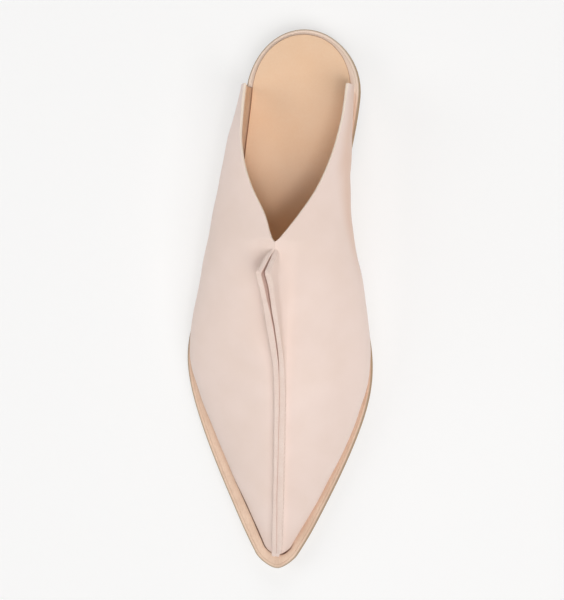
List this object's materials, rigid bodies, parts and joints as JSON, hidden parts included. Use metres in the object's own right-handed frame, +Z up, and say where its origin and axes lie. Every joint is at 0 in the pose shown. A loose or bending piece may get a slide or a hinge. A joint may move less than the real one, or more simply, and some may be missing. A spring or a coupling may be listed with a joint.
{
  "type": "pointed-toe flat mule",
  "caption": "Flat pointed-toe leather mule for the right foot: a backless slip-on with a V throat, a raised centre seam that opens into a leaning fin, a stacked sole and a low heel.",
  "frame": {"origin": "centre of the bounding box, on the floor that the shoe stands on", "axes": "+Z up; -Y towards the toe and +Y towards the heel; -X towards the outer (lateral) side and +X towards the inner side"},
  "size_m": [0.0946, 0.27, 0.0771],
  "materials": {
    "sole_leather": "smooth tan leather with a burnished edge",
    "welt_leather": "natural pale leather with a grey-olive bevelled edge",
    "insole_leather": "smooth natural leather",
    "lift_leather": "stacked leather, burnished",
    "heel_rubber": "matt dark rubber",
    "upper_leather": "soft blush leather, half matt"
  },
  "bodies": {
    "root": {"outsole": "sole_leather", "midsole_welt": "welt_leather", "insole": "insole_leather", "heel_lift_1": "lift_leather", "heel_lift_2": "lift_leather", "heel_top_piece": "heel_rubber", "upper": "upper_leather"}
  },
  "joints": []
}
